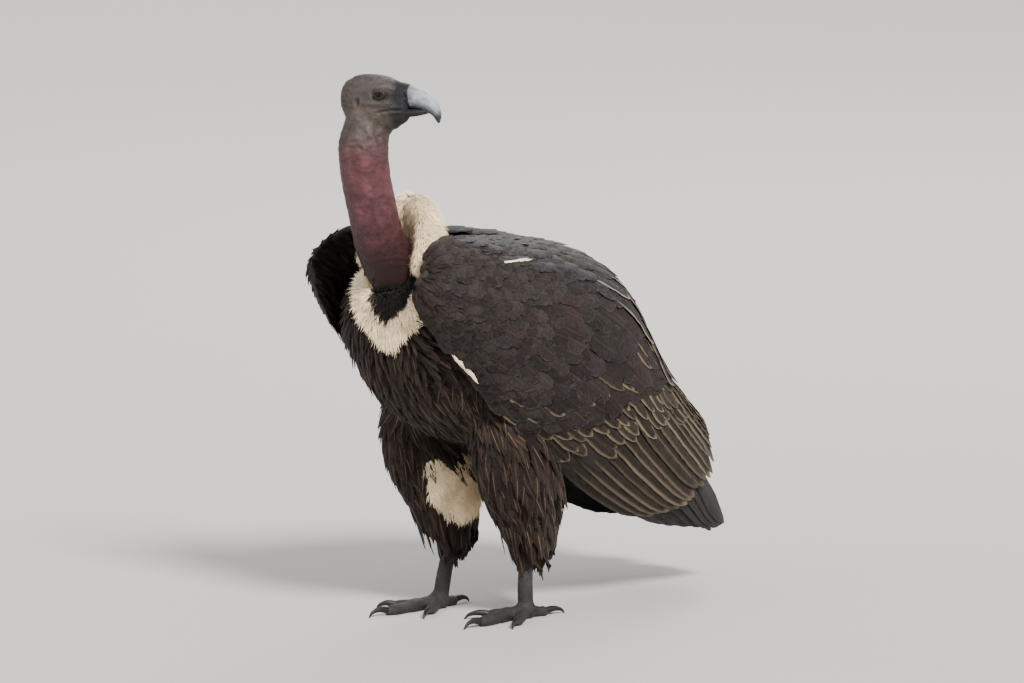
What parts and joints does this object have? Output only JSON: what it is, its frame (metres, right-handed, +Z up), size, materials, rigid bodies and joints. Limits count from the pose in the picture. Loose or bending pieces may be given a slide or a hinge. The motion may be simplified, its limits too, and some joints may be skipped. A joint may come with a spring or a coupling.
{
  "type": "white-rumped vulture, standing model",
  "caption": "Life-size still model of a standing vulture with closed wings, a bare neck with a pale ruff, and its head turned to its left.",
  "frame": {"origin": "middle of the underside of the bird's box, level with the soles of the feet", "axes": "+X towards the bird's left, +Y towards its tail, +Z up"},
  "size_m": [0.2622, 0.5508, 0.6468],
  "materials": {
    "bare_skin": "matte, folded bare skin, dark grey-brown on the head and maroon-brown on the neck",
    "bill_pale": "smooth horn, silvery on the ridge and dark along the edges",
    "bill_dark": "smooth dark horn",
    "eye": "wet, dark brown",
    "white_down": "soft, matte, creamy white down",
    "body_feathers": "matte dark brown feathers with thin pale shaft streaks",
    "wing_coverts": "matte charcoal feathers, finely mottled",
    "secondary_feathers": "satin silvery grey-brown vanes with pale edges",
    "flight_feathers": "satin black vanes",
    "leg_scales": "dark grey scutes and fine scales",
    "claw": "smooth black horn"
  },
  "bodies": {
    "root": {"head": "bare_skin", "bill_upper": "bill_pale", "bill_lower": "bill_dark", "eye_left": "eye", "eye_right": "eye", "neck_upper": "bare_skin", "neck_lower": "bare_skin", "ruff": "white_down", "trunk": "body_feathers", "tail": "flight_feathers", "wing_left_arm": "wing_coverts", "wing_left_secondaries": "secondary_feathers", "wing_left_primaries": "flight_feathers", "wing_right_arm": "wing_coverts", "wing_right_secondaries": "secondary_feathers", "wing_right_primaries": "flight_feathers", "thigh_left": "body_feathers", "thigh_right": "body_feathers", "tarsus_left": "leg_scales", "tarsus_right": "leg_scales", "foot_left": "leg_scales", "foot_right": "leg_scales", "claw_left_middle": "claw", "claw_left_inner": "claw", "claw_left_outer": "claw", "claw_left_hind": "claw", "claw_right_middle": "claw", "claw_right_inner": "claw", "claw_right_outer": "claw", "claw_right_hind": "claw"}
  },
  "joints": []
}
